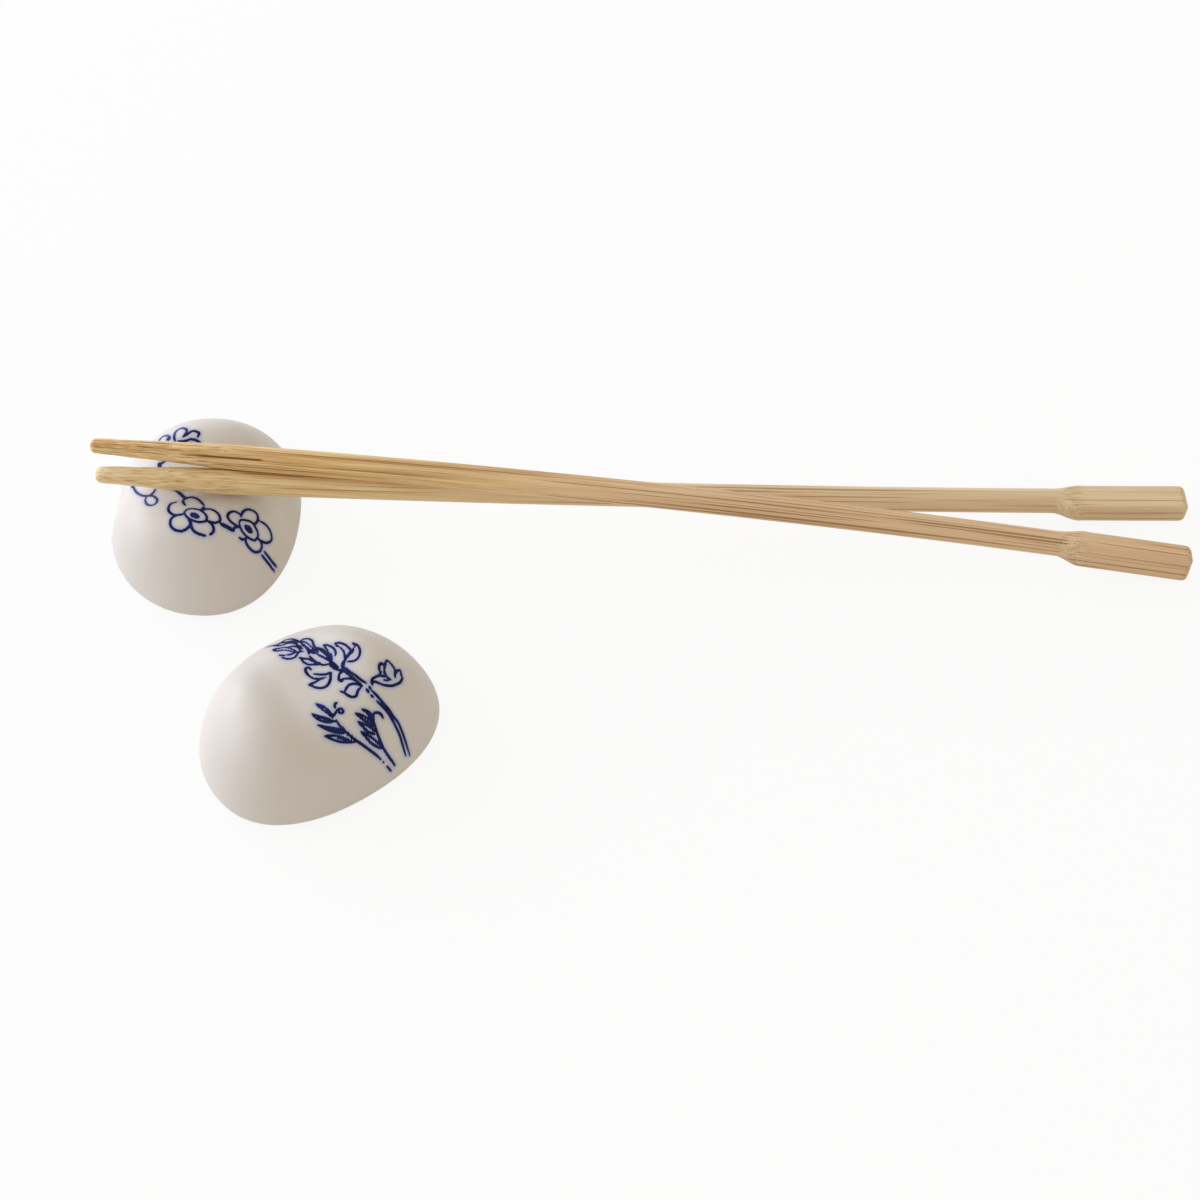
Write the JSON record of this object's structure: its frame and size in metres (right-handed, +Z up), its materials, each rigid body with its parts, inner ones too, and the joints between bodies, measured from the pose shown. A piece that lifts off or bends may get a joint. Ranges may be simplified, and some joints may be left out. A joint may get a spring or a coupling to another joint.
{
  "type": "chopstick rest",
  "caption": "Hollow porcelain pebble chopstick rests with a shallow saddle, painted in blue, with bamboo chopsticks laid on one.",
  "frame": {"origin": "centre of the flat base of the rest that carries the chopsticks, on the table", "axes": "+X along the laid chopsticks towards their handles, +Y away from the viewer across them, +Z up from the table"},
  "size_m": [0.2294, 0.1016, 0.027],
  "materials": {
    "porcelain": "clear gloss glaze over warm white porcelain, with cobalt blue painting under it and an unglazed base",
    "bamboo": "pale bare bamboo, sanded, with fine long fibres and a rough pared tip"
  },
  "bodies": {
    "rest": {"rest": "porcelain"},
    "spare_rest": {"spare_rest": "porcelain"},
    "lower_chopstick": {"lower_chopstick": "bamboo"},
    "upper_chopstick": {"upper_chopstick": "bamboo"}
  },
  "joints": [
    {"name": "lower_chopstick_lift", "type": "slide", "parent": "rest", "child": "lower_chopstick", "axis": [0, 0, 1], "range_m": [0, 0.06]},
    {"name": "upper_chopstick_lift", "type": "slide", "parent": "lower_chopstick", "child": "upper_chopstick", "axis": [0, 0, 1], "range_m": [0, 0.06]},
    {"name": "spare_rest_lift", "type": "slide", "parent": "rest", "child": "spare_rest", "axis": [0, 0, 1], "range_m": [0, 0.06]}
  ]
}
